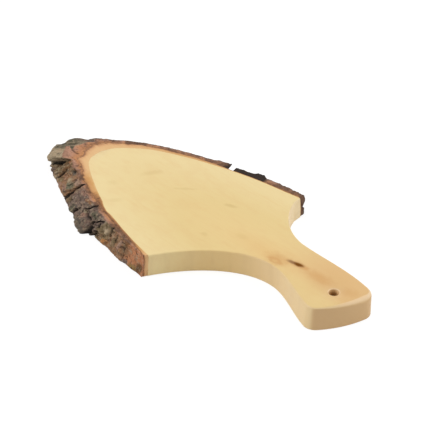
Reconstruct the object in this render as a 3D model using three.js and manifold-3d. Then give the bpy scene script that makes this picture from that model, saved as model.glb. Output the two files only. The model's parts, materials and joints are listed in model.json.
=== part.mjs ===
// A cutting board with a handle and a live edge: a slanting slice of a log, sawn to a paddle shape.
// The wood is one slab. The inner bark runs round its live edge as one band, and the outer bark sits on
// that band as separate plates, parted by fissures. All of it is sawn flush above and below.
// Millimetres and degrees, +z up. While it is drawn, the hanging hole's axis is x = 0, y = 0, and the
// handle's centre line is the x axis, with the handle's end towards +x. "Front" is -y and "back" is +y.
import * as THREE from "three";
import { mergeVertices } from "three/addons/utils/BufferGeometryUtils.js";
import Module from "manifold-3d";

const wasm = await Module();
wasm.setup();

// The slab
const BOARD_THICKNESS = 20;
const SANDED_EDGE = 1.2;
const JOINT_GAP = 0.3;

// The log's section, a rounded oval round the pith. A slanting cut draws it out to a blunt point.
const HOLE_TO_PITH = 69;
const PITH_ASIDE = 10;
const SECTION_REACH = 201.6;
const SECTION_HALF_WIDTH = 75.4;
const SECTION_ROUNDNESS = 1.7;
const SECTION_TURN = 7.3;
const UNDERSIDE_REACH = 26;

// The inner bark: thin along the sides, and drawn out by the slanting cut at the tip
const INNER_BARK_SIDE = 1;
const INNER_BARK_TIP = 11.5;

// The outer bark plates
const FISSURE_WIDTH = 1.1;
const FISSURE_FLARE = 1.6;
const PLATE_BEVEL = 3.5;
const PLATE_EDGE_SHARE = 0.78;
const BARK_OVERRUN = 14;
const BARK_ROUGHNESS = 1.2;
const MOST_ROUGHNESS_SHARE = 0.25;
const BARK_WAVES = [
  { along: 14, up: 20, share: 0.5 },
  { along: -10.5, up: 7, share: 0.3 },
  { along: 4.2, up: 5.7, share: 0.2 },
];

// The handle, measured from the hole along x and from the centre line across it. Its end is an arc struck
// from the narrowest place of its back side.
const HOLE_DIAMETER = 8;
const COUNTERSINK = 0.9;
const HOLE_TO_END = 17.2;
const END_FRONT_HALF = 26.5;
const END_BACK_HALF = 24.8;
const END_FRONT_ROUND = 3.5;
const END_BACK_ROUND = 9;
const FRONT_GRIP_PULL = 16;
const FRONT_PALM_PULL = 16;
const FRONT_FLARE = 2;
const BACK_GRIP_PULL = 24;
const BACK_PALM_PULL = 28;
const BACK_SWELL = 1.2;

// Each sawn shoulder sweeps from a corner on the live edge to the handle's narrowest place on that side
const FRONT_SHOULDER_BACK = 121;
const FRONT_SHOULDER_OUT = 89.5;
const FRONT_SHOULDER_ANGLE = 73;
const FRONT_SHOULDER_PULL = 38;
const FRONT_NECK_BACK = 49;
const FRONT_NECK_HALF = 16.6;
const FRONT_NECK_PULL = 34;
const BACK_SHOULDER_BACK = 115.5;
const BACK_SHOULDER_OUT = 62.6;
const BACK_SHOULDER_ANGLE = -80;
const BACK_SHOULDER_PULL = 20;
const BACK_NECK_BACK = 62;
const BACK_NECK_HALF = 19.8;
const BACK_NECK_PULL = 28;

// How finely curves are drawn
const STATION_STEP = 2.8;
const PLATE_ROWS = 6;
const OVAL_STEPS = 180;
const CURVE_STEPS = 26;
const HOLE_STEPS = 40;
const MEASURING_STEPS = 1500;
const CUTTER_OVERRUN = 2;

// Bark plates from the tip towards each shoulder, with nominal widths along the edge, the thickness at the
// top face and at the underside, and how far a plate bellies out two thirds of the way up. Old bark is grey
// and ridged, and the stretch of young bark by the front shoulder is smooth and reddish. An entry with no
// name is a stretch where the bark is gone.
const TIP_PLATE = { name: "bark_tip", width: 17, top: 17.5, foot: 13, belly: 8 };
const TIP_PLATE_ASIDE = 7.5;
const FRONT_PLATES = [
  { name: "bark_front_1", width: 13, top: 8.5, foot: 10.4 },
  { name: "bark_front_2", width: 24.5, top: 5.2, foot: 8.6 },
  { name: "bark_front_3", width: 19.5, top: 4.5, foot: 8.9 },
  { name: "bark_front_4", width: 13, top: 4, foot: 9.6 },
  { name: "bark_front_5", width: 19, top: 4, foot: 12.4 },
  { name: "bark_front_6", width: 13, top: 4, foot: 6.2 },
  { name: "bark_front_7", width: 21, top: 2.8, foot: 4.8 },
  { name: "bark_front_8", width: 24, top: 1.6, foot: 3.2, young: true },
];
const BACK_PLATES = [
  { name: "bark_tip_back", width: 10, top: 4.5, foot: 12 },
  { name: "bark_back_1", width: 15, top: 2.4, foot: 8 },
  { name: "bark_back_2", width: 27, top: 2.2, foot: 6 },
  { name: "bark_back_3", width: 16, top: 2, foot: 5 },
  { name: "bark_back_4", width: 17, top: 1.9, foot: 4.5 },
  { name: "bark_back_5", width: 14, top: 1.9, foot: 4 },
  { name: "bark_back_6", width: 17, top: 3.8, foot: 5 },
  { width: 5 },
  { name: "bark_back_7", width: 15.5, top: 2, foot: 3.6 },
  { name: "bark_back_8", width: 12.5, top: 3.3, foot: 4.4 },
  { width: 1.5 },
  { name: "bark_back_9", width: 24.5, top: 2.8, foot: 3.8 },
  { name: "bark_back_10", width: 11, top: 2.4, foot: 3.2 },
];

// Materials
const WOOD = new THREE.MeshStandardMaterial({ color: 0xe9d39b, roughness: 0.55, metalness: 0 });
const INNER_BARK = new THREE.MeshStandardMaterial({ color: 0xd79a5e, roughness: 0.8, metalness: 0 });
const OLD_BARK = new THREE.MeshStandardMaterial({ color: 0x6a5347, roughness: 0.95, metalness: 0 });
const YOUNG_BARK = new THREE.MeshStandardMaterial({ color: 0x8c6048, roughness: 0.85, metalness: 0 });

// Solids for cutting and joining

function solidOf(geometry) {
  const bare = geometry.clone();
  bare.deleteAttribute("normal");
  bare.deleteAttribute("uv");
  const merged = mergeVertices(bare, 1e-4);
  const mesh = new wasm.Mesh({
    numProp: 3,
    vertProperties: merged.attributes.position.array,
    triVerts: new Uint32Array(merged.index.array),
  });
  return new wasm.Manifold(mesh);
}

function geometryOf(solid) {
  const mesh = solid.getMesh();
  const geometry = new THREE.BufferGeometry();
  geometry.setAttribute("position", new THREE.BufferAttribute(mesh.vertProperties, 3));
  geometry.setIndex(new THREE.BufferAttribute(mesh.triVerts, 1));
  geometry.computeVertexNormals();
  return geometry;
}

function indexedGeometry(points, faces) {
  const geometry = new THREE.BufferGeometry();
  geometry.setAttribute("position", new THREE.Float32BufferAttribute(points.flatMap((p) => p.toArray()), 3));
  geometry.setIndex(faces);
  return geometry;
}

// The live edge

const turn = THREE.MathUtils.degToRad(SECTION_TURN);
const pith = new THREE.Vector2(-HOLE_TO_PITH, -PITH_ASIDE);

function signedPower(value, exponent) {
  return Math.sign(value) * Math.abs(value) ** exponent;
}

// A place on the wood's live edge: angle is 180 degrees at the tip. With the point come the outward
// direction and the tipness, which is 1 at the tip and falls towards 0 along the sides.
function liveEdge(angle, height) {
  const reach = SECTION_REACH + UNDERSIDE_REACH * (1 - height / BOARD_THICKNESS);
  const along = reach * signedPower(Math.cos(angle), 2 / SECTION_ROUNDNESS);
  const across = SECTION_HALF_WIDTH * signedPower(Math.sin(angle), 2 / SECTION_ROUNDNESS);
  const normal = new THREE.Vector2(
    signedPower(along / reach, SECTION_ROUNDNESS - 1) / reach,
    signedPower(across / SECTION_HALF_WIDTH, SECTION_ROUNDNESS - 1) / SECTION_HALF_WIDTH,
  ).normalize();
  const tipness = Math.abs(normal.x);
  const origin = new THREE.Vector2();
  return {
    point: new THREE.Vector2(along, across).rotateAround(origin, turn).add(pith),
    normal: normal.rotateAround(origin, turn),
    tipness,
  };
}

function offsetPoint(edge, distance, height) {
  return new THREE.Vector3(
    edge.point.x + edge.normal.x * distance,
    edge.point.y + edge.normal.y * distance,
    height,
  );
}

function innerBarkThickness(edge) {
  return THREE.MathUtils.lerp(INNER_BARK_SIDE, INNER_BARK_TIP, edge.tipness);
}

// Distances along the top of the live edge, from the tip, on each side: +1 is the back and -1 the front
function measureSide(side) {
  const marks = [{ angle: Math.PI, distance: 0 }];
  let before = liveEdge(Math.PI, BOARD_THICKNESS).point;
  for (let step = 1; step <= MEASURING_STEPS; step++) {
    const angle = Math.PI - (side * Math.PI * step) / MEASURING_STEPS;
    const { point } = liveEdge(angle, BOARD_THICKNESS);
    marks.push({ angle, distance: marks[step - 1].distance + point.distanceTo(before) });
    before = point;
  }
  return marks;
}

const sideMarks = { front: measureSide(-1), back: measureSide(1) };

// The angle at a signed distance from the tip along the live edge: back is positive, front is negative
function angleAt(distance) {
  const marks = distance < 0 ? sideMarks.front : sideMarks.back;
  const wanted = Math.abs(distance);
  const after = Math.max(1, marks.findIndex((mark) => mark.distance >= wanted));
  const low = marks[after - 1];
  const high = marks[after];
  const share = (wanted - low.distance) / (high.distance - low.distance);
  return THREE.MathUtils.lerp(low.angle, high.angle, share);
}

// The sawn outline: the handle and both shoulders, open round the head, where the live edge is left

function polar(point, degrees, length) {
  const radians = THREE.MathUtils.degToRad(degrees);
  return new THREE.Vector2(point.x + Math.cos(radians) * length, point.y + Math.sin(radians) * length);
}

const frontShoulder = new THREE.Vector2(-FRONT_SHOULDER_BACK, -FRONT_SHOULDER_OUT);
const frontNeck = new THREE.Vector2(-FRONT_NECK_BACK, -FRONT_NECK_HALF);
const backShoulder = new THREE.Vector2(-BACK_SHOULDER_BACK, BACK_SHOULDER_OUT);
const backNeck = new THREE.Vector2(-BACK_NECK_BACK, BACK_NECK_HALF);

// The arc of the handle's end, as the angles at which it meets the two sides
function endArc() {
  const radius = backNeck.distanceTo(new THREE.Vector2(HOLE_TO_END, 0));
  const front = Math.asin((-END_FRONT_HALF - backNeck.y) / radius);
  const back = Math.asin((END_BACK_HALF - backNeck.y) / radius);
  const at = (angle) => polar(backNeck, THREE.MathUtils.radToDeg(angle), radius);
  return { radius, front, back, frontCorner: at(front), backCorner: at(back), at };
}

function sawnShape() {
  const headRoom = SECTION_REACH + UNDERSIDE_REACH + INNER_BARK_TIP + 2 * TIP_PLATE.foot;
  const sideRoom = 2 * SECTION_HALF_WIDTH;
  const frontStart = polar(frontShoulder, FRONT_SHOULDER_ANGLE, -sideRoom);
  const frontPull = polar(frontShoulder, FRONT_SHOULDER_ANGLE, FRONT_SHOULDER_PULL);
  const backStop = polar(backShoulder, BACK_SHOULDER_ANGLE, -sideRoom);
  const backPull = polar(backShoulder, BACK_SHOULDER_ANGLE, BACK_SHOULDER_PULL);
  const { radius, front, back, frontCorner, backCorner, at } = endArc();
  const arcStart = front + END_FRONT_ROUND / radius;
  const arcStop = back - END_BACK_ROUND / radius;
  const endStart = at(arcStart);
  const frontSideEnd = frontCorner.x - END_FRONT_ROUND;
  const backSideEnd = backCorner.x - END_BACK_ROUND;

  const shape = new THREE.Shape();
  shape.moveTo(frontStart.x, frontStart.y);
  shape.lineTo(frontShoulder.x, frontShoulder.y);
  shape.bezierCurveTo(
    frontPull.x, frontPull.y, frontNeck.x - FRONT_NECK_PULL, frontNeck.y, frontNeck.x, frontNeck.y,
  );
  shape.bezierCurveTo(
    frontNeck.x + FRONT_GRIP_PULL, frontNeck.y,
    frontSideEnd - FRONT_PALM_PULL, frontCorner.y + FRONT_FLARE, frontSideEnd, frontCorner.y,
  );
  shape.quadraticCurveTo(frontCorner.x, frontCorner.y, endStart.x, endStart.y);
  shape.absarc(backNeck.x, backNeck.y, radius, arcStart, arcStop, false);
  shape.quadraticCurveTo(backCorner.x, backCorner.y, backSideEnd, backCorner.y);
  shape.bezierCurveTo(
    backSideEnd - BACK_PALM_PULL, backCorner.y + BACK_SWELL,
    backNeck.x + BACK_GRIP_PULL, backNeck.y, backNeck.x, backNeck.y,
  );
  shape.bezierCurveTo(
    backNeck.x - BACK_NECK_PULL, backNeck.y, backPull.x, backPull.y, backShoulder.x, backShoulder.y,
  );
  shape.lineTo(backStop.x, backStop.y);
  shape.lineTo(pith.x - headRoom, backStop.y);
  shape.lineTo(pith.x - headRoom, frontStart.y);
  shape.closePath();
  return shape;
}

const outline = sawnShape();

function makeSawnBlank() {
  const geometry = new THREE.ExtrudeGeometry(outline, {
    depth: BOARD_THICKNESS - 2 * SANDED_EDGE,
    curveSegments: CURVE_STEPS,
    bevelEnabled: true,
    bevelThickness: SANDED_EDGE,
    bevelSize: SANDED_EDGE,
    bevelOffset: -SANDED_EDGE,
    bevelSegments: 2,
  });
  geometry.translate(0, 0, SANDED_EDGE);
  return solidOf(geometry);
}

const sawnBlank = makeSawnBlank();

// How far the live edge runs from the tip before the saw cut meets it, on one side
function liveLength(marks) {
  const corners = outline.getPoints(CURVE_STEPS);
  const left = marks.find(({ angle }) => !contains(corners, liveEdge(angle, BOARD_THICKNESS).point));
  return left.distance;
}

function contains(corners, point) {
  let inside = false;
  corners.forEach((corner, index) => {
    const other = corners[(index + 1) % corners.length];
    const crosses = corner.y > point.y !== other.y > point.y;
    const x = corner.x + ((other.x - corner.x) * (point.y - corner.y)) / (other.y - corner.y);
    if (crosses && point.x < x) inside = !inside;
  });
  return inside;
}

const frontLength = liveLength(sideMarks.front);
const backLength = liveLength(sideMarks.back);

// The wood slab

function makeOval() {
  const points = [];
  const faces = [];
  for (const height of [0, BOARD_THICKNESS]) {
    for (let step = 0; step < OVAL_STEPS; step++) {
      const edge = liveEdge((2 * Math.PI * step) / OVAL_STEPS, height);
      points.push(offsetPoint(edge, 0, height));
    }
  }
  points.push(new THREE.Vector3(pith.x, pith.y, 0), new THREE.Vector3(pith.x, pith.y, BOARD_THICKNESS));
  for (let step = 0; step < OVAL_STEPS; step++) {
    const next = (step + 1) % OVAL_STEPS;
    faces.push(step, next, OVAL_STEPS + next, step, OVAL_STEPS + next, OVAL_STEPS + step);
    faces.push(2 * OVAL_STEPS, next, step);
    faces.push(2 * OVAL_STEPS + 1, OVAL_STEPS + step, OVAL_STEPS + next);
  }
  return solidOf(indexedGeometry(points, faces));
}

function makeHole() {
  const radius = HOLE_DIAMETER / 2;
  const flare = radius + COUNTERSINK;
  const profile = [
    [0, -CUTTER_OVERRUN],
    [flare, -CUTTER_OVERRUN],
    [flare, 0],
    [radius, COUNTERSINK],
    [radius, BOARD_THICKNESS - COUNTERSINK],
    [flare, BOARD_THICKNESS],
    [flare, BOARD_THICKNESS + CUTTER_OVERRUN],
    [0, BOARD_THICKNESS + CUTTER_OVERRUN],
  ].map(([x, y]) => new THREE.Vector2(x, y));
  const geometry = new THREE.LatheGeometry(profile, HOLE_STEPS);
  geometry.rotateX(Math.PI / 2);
  return solidOf(geometry);
}

function makeWoodSlab() {
  return geometryOf(sawnBlank.intersect(makeOval()).subtract(makeHole()));
}

// A curved wall between an inner and an outer surface, as one closed solid. Each surface is a function of
// a share along the wall and a share of its height, and gives a point.
function makeWall(columns, rows, innerAt, outerAt) {
  const points = [];
  const faces = [];
  const row = rows + 1;
  const inner = (columns + 1) * row;
  const quad = (a, b, c, d) => faces.push(a, b, c, a, c, d);
  for (const surface of [outerAt, innerAt]) {
    for (let i = 0; i <= columns; i++) {
      for (let j = 0; j <= rows; j++) points.push(surface(i / columns, j / rows));
    }
  }
  for (let i = 0; i < columns; i++) {
    for (let j = 0; j < rows; j++) {
      const corner = i * row + j;
      quad(corner, corner + 1, corner + row + 1, corner + row);
      quad(inner + corner, inner + corner + row, inner + corner + row + 1, inner + corner + 1);
    }
    const foot = i * row;
    const head = foot + rows;
    quad(foot, foot + row, inner + foot + row, inner + foot);
    quad(head, inner + head, inner + head + row, head + row);
  }
  for (let j = 0; j < rows; j++) {
    const last = columns * row + j;
    quad(j, inner + j, inner + j + 1, j + 1);
    quad(last, last + 1, inner + last + 1, inner + last);
  }
  return indexedGeometry(points, faces);
}

// The inner bark, one band from shoulder to shoulder

function makeInnerBark() {
  const from = -frontLength - BARK_OVERRUN;
  const length = frontLength + backLength + 2 * BARK_OVERRUN;
  const columns = Math.ceil(length / STATION_STEP);
  const surface = (depthOf) => (share, rise) => {
    const height = rise * BOARD_THICKNESS;
    const edge = liveEdge(angleAt(from + share * length), height);
    return offsetPoint(edge, depthOf(edge), height);
  };
  const band = makeWall(columns, 1, surface(() => JOINT_GAP), surface(innerBarkThickness));
  return geometryOf(solidOf(band).intersect(sawnBlank));
}

// Outer bark

// A repeatable unevenness between -1 and 1 for a place on a plate, as a sum of slanting waves
function unevenness(along, height, seed) {
  return BARK_WAVES.reduce((sum, wave, index) => {
    const phase = 2 * Math.PI * (along / wave.along + height / wave.up) + seed * (index + 1);
    return sum + wave.share * Math.sin(phase);
  }, 0);
}

// How thick a plate is at a place: bevelled down towards its fissures, uneven in between
function plateThickness(plate, seed, distance, width, rise) {
  const toFissure = Math.min(distance, width - distance);
  const bevel = Math.min(PLATE_BEVEL, width / 2);
  const full = THREE.MathUtils.smoothstep(toFissure, 0, bevel);
  const belly = 6.75 * rise ** 2 * (1 - rise) * (plate.belly ?? 0);
  const thickness = THREE.MathUtils.lerp(plate.foot, plate.top, rise) + belly;
  const shaped = thickness * THREE.MathUtils.lerp(PLATE_EDGE_SHARE, 1, full);
  const roughness = Math.min(BARK_ROUGHNESS, MOST_ROUGHNESS_SHARE * thickness);
  return shaped + roughness * full * unevenness(distance, rise * BOARD_THICKNESS, seed);
}

// One plate on the live edge between two signed distances from the tip. Its fissures flare outwards.
function makePlate(plate, seed, from, to) {
  const start = from + FISSURE_WIDTH / 2;
  const width = to - from - FISSURE_WIDTH;
  const columns = Math.max(4, Math.ceil(width / STATION_STEP));
  const place = (share, rise, flare) => {
    const height = rise * BOARD_THICKNESS;
    const distance = start + flare / 2 + share * (width - flare);
    return { height, edge: liveEdge(angleAt(distance), height) };
  };
  const innerAt = (share, rise) => {
    const { height, edge } = place(share, rise, 0);
    return offsetPoint(edge, innerBarkThickness(edge) + JOINT_GAP, height);
  };
  const outerAt = (share, rise) => {
    const { height, edge } = place(share, rise, Math.min(FISSURE_FLARE, width / 3));
    const thickness = plateThickness(plate, seed, share * width, width, rise);
    return offsetPoint(edge, innerBarkThickness(edge) + JOINT_GAP + thickness, height);
  };
  return makeWall(columns, PLATE_ROWS, innerAt, outerAt);
}

// Shares a length out among plates in the ratio of their nominal widths, and gives each its two ends
function shareOut(plates, from, to) {
  const total = plates.reduce((sum, plate) => sum + plate.width, 0);
  let covered = 0;
  return plates.map((plate) => {
    const start = THREE.MathUtils.lerp(from, to, covered / total);
    covered += plate.width;
    return { plate, start, stop: THREE.MathUtils.lerp(from, to, covered / total) };
  });
}

function makeBark() {
  const tipFront = -TIP_PLATE.width / 2 - TIP_PLATE_ASIDE;
  const tipBack = TIP_PLATE.width / 2 - TIP_PLATE_ASIDE;
  const placed = [
    { plate: TIP_PLATE, start: tipFront, stop: tipBack },
    ...shareOut(FRONT_PLATES, tipFront, -frontLength),
    ...shareOut(BACK_PLATES, tipBack, backLength),
  ];
  const ends = [FRONT_PLATES.at(-1), BACK_PLATES.at(-1)];
  return placed.map(({ plate, start, stop }, index) => {
    if (!plate.name) return null;
    const isEnd = ends.includes(plate);
    const reached = isEnd ? stop + Math.sign(stop) * BARK_OVERRUN : stop;
    const solid = makePlate(plate, index + 1, Math.min(start, reached), Math.max(start, reached));
    const geometry = isEnd ? geometryOf(solidOf(solid).intersect(sawnBlank)) : solid;
    return { name: plate.name, geometry, material: plate.young ? YOUNG_BARK : OLD_BARK };
  });
}

// The board, stood on the origin by the middle of its underside

const pieces = new THREE.Group();

function addPiece(name, geometry, material) {
  const mesh = new THREE.Mesh(geometry, material.clone());
  mesh.name = name;
  pieces.add(mesh);
}

addPiece("wood_slab", makeWoodSlab(), WOOD);
addPiece("inner_bark", makeInnerBark(), INNER_BARK);
for (const piece of makeBark()) {
  if (piece) addPiece(piece.name, piece.geometry, piece.material);
}

const middle = new THREE.Box3().setFromObject(pieces, true).getCenter(new THREE.Vector3());
pieces.position.set(-middle.x, -middle.y, 0);

const board = new THREE.Group();
board.add(pieces);

export default board;
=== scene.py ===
# %% [markdown]
# # A cutting board with a live edge
#
# This lesson builds a kitchen board that was sawn from a slanting slice of a log. One side of the board is
# a handle with a hanging hole. Round the other side the saw stopped at the bark, so the board still wears
# three layers of the tree: pale wood, an orange band of inner bark, and rough plates of outer bark.
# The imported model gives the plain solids. Each piece here replaces one of them with the finished surface.

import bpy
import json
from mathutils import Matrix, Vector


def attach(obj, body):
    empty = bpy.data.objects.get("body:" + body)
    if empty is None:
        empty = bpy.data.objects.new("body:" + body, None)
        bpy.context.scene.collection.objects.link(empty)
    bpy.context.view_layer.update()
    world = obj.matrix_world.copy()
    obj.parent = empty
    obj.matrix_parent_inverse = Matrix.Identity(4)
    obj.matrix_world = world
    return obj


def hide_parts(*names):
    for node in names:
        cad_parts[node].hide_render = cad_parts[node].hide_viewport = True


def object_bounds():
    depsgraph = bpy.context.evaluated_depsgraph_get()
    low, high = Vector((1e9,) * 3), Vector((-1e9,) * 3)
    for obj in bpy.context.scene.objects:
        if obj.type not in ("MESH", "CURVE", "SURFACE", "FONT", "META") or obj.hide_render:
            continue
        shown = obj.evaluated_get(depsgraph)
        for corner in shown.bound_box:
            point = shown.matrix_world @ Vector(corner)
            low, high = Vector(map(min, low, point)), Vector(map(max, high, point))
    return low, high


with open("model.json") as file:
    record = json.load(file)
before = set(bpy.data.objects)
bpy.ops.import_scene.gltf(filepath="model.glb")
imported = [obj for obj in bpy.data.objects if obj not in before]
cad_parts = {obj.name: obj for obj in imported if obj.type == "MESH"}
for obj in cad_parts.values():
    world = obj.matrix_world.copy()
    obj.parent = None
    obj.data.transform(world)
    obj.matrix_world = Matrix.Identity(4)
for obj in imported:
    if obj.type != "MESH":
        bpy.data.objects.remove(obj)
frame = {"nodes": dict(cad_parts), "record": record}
cad_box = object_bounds()
rounded_box = [tuple(round(v, 4) for v in corner) for corner in cad_box]
print("plain solids:", len(frame["nodes"]), "box:", rounded_box)

# %% [markdown]
# ## Where things are
#
# A board maker measures from the hanging hole, in millimetres, with the handle's end towards +x, the front
# edge towards -y and the underside at height 0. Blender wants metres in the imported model's own frame. The
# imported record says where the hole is, so one small function turns a maker's place into a Blender place.
# Blender's noise starts from the clock unless it is given a number. The tree gets one here, so that every
# run grows the same bark.

# %% The maker's ruler
import functools
import json
import math
from collections import namedtuple

import bmesh
import bpy
import numpy
from mathutils import Vector, noise

THICKNESS = 20.0
TREE_NUMBER = 4
noise.seed_set(TREE_NUMBER)

hole_low, hole_high = frame["record"]["physics"]["openings"][0]["box_m"]
HOLE_X = 500 * (hole_low[0] + hole_high[0])
HOLE_Y = 500 * (hole_low[1] + hole_high[1])


def place(x, y, height):
    return Vector((HOLE_X + x, HOLE_Y + y, height)) / 1000


def ease(value, start, stop):
    share = min(1.0, max(0.0, (value - start) / (stop - start)))
    return share * share * (3 - 2 * share)


def blend(first, second, share):
    return first + (second - first) * share


print("hanging hole at", tuple(round(v, 2) for v in (HOLE_X, HOLE_Y)), "mm from the board's middle")

# %% [markdown]
# ## The log's section
#
# A log cut at a slant gives a long oval. This one is blunter than an ellipse, so it is drawn as a rounded
# oval with a power of 1.7 in place of 2. The slant also carries the oval further out at the underside, and
# that is why the tip leans. Every layer of the tree follows this one curve at some depth outside it.

# %% Draw the live edge
PITH = (-69.0, -10.0)
SECTION_REACH = 201.6
SECTION_HALF_WIDTH = 75.4
SECTION_ROUNDNESS = 1.7
SECTION_TURN = math.radians(7.3)
UNDERSIDE_REACH = 26.0


def signed_power(value, exponent):
    return math.copysign(abs(value) ** exponent, value)


def turned(x, y, angle):
    return x * math.cos(angle) - y * math.sin(angle), x * math.sin(angle) + y * math.cos(angle)


def live_edge(angle, height):
    reach = SECTION_REACH + UNDERSIDE_REACH * (1 - height / THICKNESS)
    along = reach * signed_power(math.cos(angle), 2 / SECTION_ROUNDNESS)
    across = SECTION_HALF_WIDTH * signed_power(math.sin(angle), 2 / SECTION_ROUNDNESS)
    normal_x = signed_power(along / reach, SECTION_ROUNDNESS - 1) / reach
    normal_y = signed_power(across / SECTION_HALF_WIDTH, SECTION_ROUNDNESS - 1) / SECTION_HALF_WIDTH
    length = math.hypot(normal_x, normal_y)
    tipness = abs(normal_x) / length
    x, y = turned(along, across, SECTION_TURN)
    normal = turned(normal_x / length, normal_y / length, SECTION_TURN)
    return (PITH[0] + x, PITH[1] + y), normal, tipness


print("section of the log:", 2 * SECTION_REACH, "by", 2 * SECTION_HALF_WIDTH, "mm on top")

# %% [markdown]
# Bark is measured along the edge, as with a tape laid from the tip: plus is along the back and minus along
# the front. A table of small steps turns a length on the tape into an angle on the oval.

# %% Lay a tape along the live edge
TAPE_STEPS = 1500


def lay_tape(side):
    angles = [math.pi - side * math.pi * step / TAPE_STEPS for step in range(TAPE_STEPS + 1)]
    places = [live_edge(angle, THICKNESS)[0] for angle in angles]
    lengths = [0.0]
    for before, after in zip(places, places[1:]):
        lengths.append(lengths[-1] + math.dist(before, after))
    return numpy.array(lengths), numpy.array(angles)


tapes = {side: lay_tape(side) for side in (-1, 1)}


def at_edge(tape, depth, height):
    side = -1 if tape < 0 else 1
    angle = float(numpy.interp(abs(tape), *tapes[side]))
    (x, y), normal, tipness = live_edge(angle, height)
    return (x + normal[0] * depth, y + normal[1] * depth), tipness


def along_tape(tape, marks):
    return float(numpy.interp(tape, *zip(*marks)))


print("tape round the whole oval:", round(tapes[1][0][-1] + tapes[-1][0][-1]), "mm")

# %% [markdown]
# ## The sawn outline
#
# The rest of the outline was cut with a band saw and sanded: a sweep from each shoulder to the waist of the
# handle, a palm that swells towards the end, and an end that is an arc struck from the waist. Each stretch
# is a Bezier curve, the same kind of curve as Blender's own curve handles give.

# %% Draw the sawn outline
FRONT_SHOULDER = Vector((-121.0, -89.5))
BACK_SHOULDER = Vector((-115.5, 62.6))
FRONT_WAIST = Vector((-49.0, -16.6))
BACK_WAIST = Vector((-62.0, 19.8))
HOLE_TO_END = 17.2
FRONT_CORNER_Y = -26.5
BACK_CORNER_Y = 24.8
FRONT_ROUND = 5
BACK_ROUND = 9
FRONT_PULL = 38
BACK_PULL = 20
SAWN_STEPS = 40


def heading(degrees):
    angle = math.radians(degrees)
    return Vector((math.cos(angle), math.sin(angle)))


FRONT_SAW = heading(73)
BACK_SAW = heading(-80)


def bezier(start, pull_start, pull_stop, stop, steps=SAWN_STEPS):
    points = []
    for step in range(steps):
        t = step / steps
        points.append(
            start * (1 - t) ** 3 + pull_start * 3 * t * (1 - t) ** 2
            + pull_stop * 3 * t * t * (1 - t) + stop * t ** 3
        )
    return points


def rounded_corner(start, corner, stop, steps=12):
    third = 2 / 3
    return bezier(start, start.lerp(corner, third), stop.lerp(corner, third), stop, steps)


def draw_sawn_outline():
    radius = (Vector((HOLE_TO_END, 0)) - BACK_WAIST).length
    front_turn = math.asin((FRONT_CORNER_Y - BACK_WAIST.y) / radius)
    back_turn = math.asin((BACK_CORNER_Y - BACK_WAIST.y) / radius)

    def on_arc(angle):
        return BACK_WAIST + Vector((math.cos(angle), math.sin(angle))) * radius

    front_corner = on_arc(front_turn)
    back_corner = on_arc(back_turn)
    arc_start = front_turn + FRONT_ROUND / radius
    arc_stop = back_turn - BACK_ROUND / radius
    front_side = front_corner - Vector((FRONT_ROUND, 0))
    back_side = back_corner - Vector((BACK_ROUND, 0))
    front_pull = FRONT_SHOULDER + FRONT_SAW * FRONT_PULL
    back_pull = BACK_SHOULDER + BACK_SAW * BACK_PULL
    return [
        bezier(FRONT_SHOULDER, front_pull, FRONT_WAIST - Vector((34, 0)), FRONT_WAIST),
        bezier(FRONT_WAIST, FRONT_WAIST + Vector((16, 0)), front_side + Vector((-16, 2)), front_side),
        rounded_corner(front_side, front_corner, on_arc(arc_start)),
        [on_arc(blend(arc_start, arc_stop, step / SAWN_STEPS)) for step in range(SAWN_STEPS)],
        rounded_corner(on_arc(arc_stop), back_corner, back_side),
        bezier(back_side, back_side + Vector((-28, 2.2)), BACK_WAIST + Vector((24, 1.2)), BACK_WAIST),
        bezier(BACK_WAIST, BACK_WAIST - Vector((28, 0)), back_pull, BACK_SHOULDER) + [BACK_SHOULDER],
    ]


stretches = draw_sawn_outline()
sawn_outline = [point for stretch in stretches for point in stretch]
print("sawn outline:", len(stretches), "stretches,", len(sawn_outline), "points")

# %% [markdown]
# Every sawn edge was eased with sandpaper, a little at the shoulders and more where the hand goes. The easing
# is a quarter round, so at each height the outline steps in by a little. The saw also leaned along the
# handle, so the foot of the wall stands out in front and at the end, and steps in at the back corner. Both
# are listed as a start and a stop for each of the seven stretches. A line at each shoulder, a little more
# slanted at the back, cuts off the layers of bark. A search by halving finds where a layer meets that line.

# %% Ease the sawn edges
SANDED_EDGE = 1.2
MOST_SANDED = 5.0
EASING = [(1.2, 1.2), (1.2, 1.8), (1.8, 1.2), (1.2, 5.0), (5.0, 1.8), (1.8, 1.2), (1.2, 1.2)]
BARK_END = Vector((-114.8, 62.8))
BARK_CUT = heading(-70)
SEARCH_FROM, SEARCH_TO, SEARCH_FINE = 100.0, 240.0, 0.001
FLARE = [(0.0, 0.8), (0.8, 2.2), (2.2, 2.0), (2.0, 1.6), (1.6, -1.6), (-1.6, 0.0), (0.0, 0.0)]


def spread(ends):
    values = []
    for stretch, (first, last) in zip(stretches, ends):
        values += [blend(first, last, step / len(stretch)) for step in range(len(stretch))]
    return values


def eased(height, radius=SANDED_EDGE):
    room = radius - min(height, THICKNESS - height, radius)
    return radius - math.sqrt(radius * radius - room * room)


def stepped_in(height):
    moved = []
    for index, point in enumerate(sawn_outline):
        before = sawn_outline[max(0, index - 1)]
        after = sawn_outline[min(len(sawn_outline) - 1, index + 1)]
        tangent = (after - before).normalized()
        radius = sanded[index] if height > THICKNESS / 2 else SANDED_EDGE
        inset = eased(height, radius) - flared[index] * (1 - height / THICKNESS)
        moved.append(point + Vector((-tangent.y, tangent.x)) * inset)
    return moved


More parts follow.
